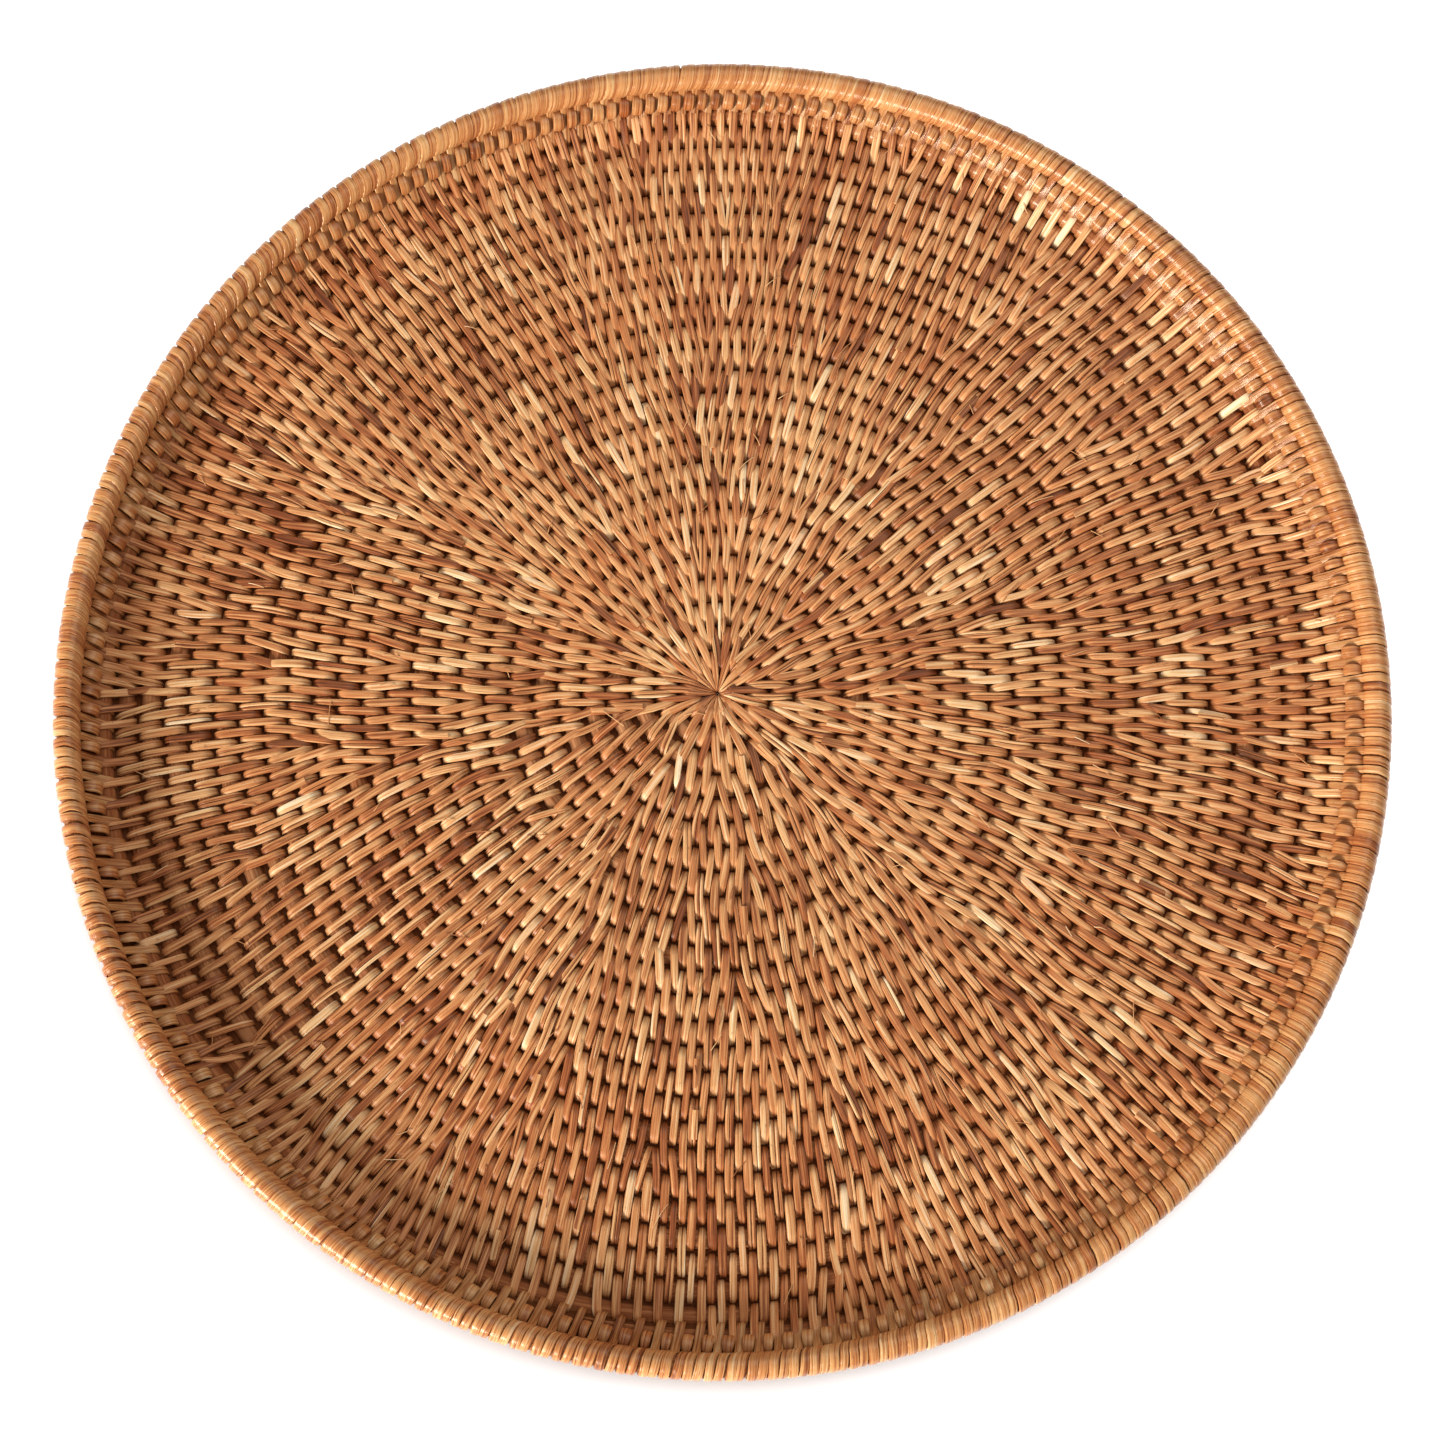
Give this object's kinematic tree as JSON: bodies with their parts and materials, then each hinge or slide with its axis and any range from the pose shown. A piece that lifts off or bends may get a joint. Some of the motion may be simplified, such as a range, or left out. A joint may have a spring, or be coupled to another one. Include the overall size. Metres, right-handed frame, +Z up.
{
  "type": "winnowing basket",
  "caption": "Round, shallow coiled rattan winnowing tray with a laced spiral floor, a low turned-up wall and a bound hoop rim with a row of knots.",
  "frame": {"origin": "on the surface the tray rests on, under the centre of the rim", "axes": "+Z up out of the open top; the seam, where the coil steps from one lap to the next, lies 214 degrees round from +X, counter-clockwise seen from above"},
  "size_m": [0.5079, 0.5043, 0.0277],
  "materials": {
    "foundation_cane": "bare round rattan core, satin",
    "floor_lacing": "flat split rattan strip, aged honey brown, satin",
    "wall_lacing": "flat split rattan strip, darker brown, satin",
    "rim_hoop": "bare round rattan core, satin",
    "rim_binding": "flat split rattan strip, smooth glossy skin side out",
    "rim_knots": "flat split rattan strip, satin"
  },
  "bodies": {
    "root": {"foundation_cane_1": "foundation_cane", "foundation_cane_2": "foundation_cane", "foundation_cane_3": "foundation_cane", "foundation_cane_4": "foundation_cane", "foundation_cane_5": "foundation_cane", "foundation_cane_6": "foundation_cane", "first_round_lacing": "floor_lacing", "lacing_row_01": "floor_lacing", "lacing_row_02": "floor_lacing", "lacing_row_03": "floor_lacing", "lacing_row_04": "floor_lacing", "lacing_row_05": "floor_lacing", "lacing_row_06": "floor_lacing", "lacing_row_07": "floor_lacing", "lacing_row_08": "floor_lacing", "lacing_row_09": "floor_lacing", "lacing_row_10": "floor_lacing", "lacing_row_11": "floor_lacing", "lacing_row_12": "floor_lacing", "lacing_row_13": "floor_lacing", "lacing_row_14": "floor_lacing", "lacing_row_15": "floor_lacing", "lacing_row_16": "floor_lacing", "lacing_row_17": "floor_lacing", "lacing_row_18": "floor_lacing", "lacing_row_19": "floor_lacing", "lacing_row_20": "floor_lacing", "lacing_row_21": "floor_lacing", "lacing_row_22": "floor_lacing", "lacing_row_23": "wall_lacing", "lacing_row_24": "wall_lacing", "lacing_row_25": "wall_lacing", "rim_hoop": "rim_hoop", "rim_binding_1": "rim_binding", "rim_binding_2": "rim_binding", "rim_binding_3": "rim_binding", "rim_binding_4": "rim_binding", "rim_binding_5": "rim_binding", "rim_binding_6": "rim_binding", "rim_binding_7": "rim_binding", "rim_binding_8": "rim_binding", "rim_binding_9": "rim_binding", "rim_binding_10": "rim_binding", "rim_binding_11": "rim_binding", "knot_row_1": "rim_knots", "knot_row_2": "rim_knots", "knot_row_3": "rim_knots", "knot_row_4": "rim_knots", "knot_row_5": "rim_knots", "knot_row_6": "rim_knots", "knot_row_7": "rim_knots", "knot_row_8": "rim_knots", "knot_row_9": "rim_knots", "knot_row_10": "rim_knots", "knot_row_11": "rim_knots"}
  },
  "joints": []
}
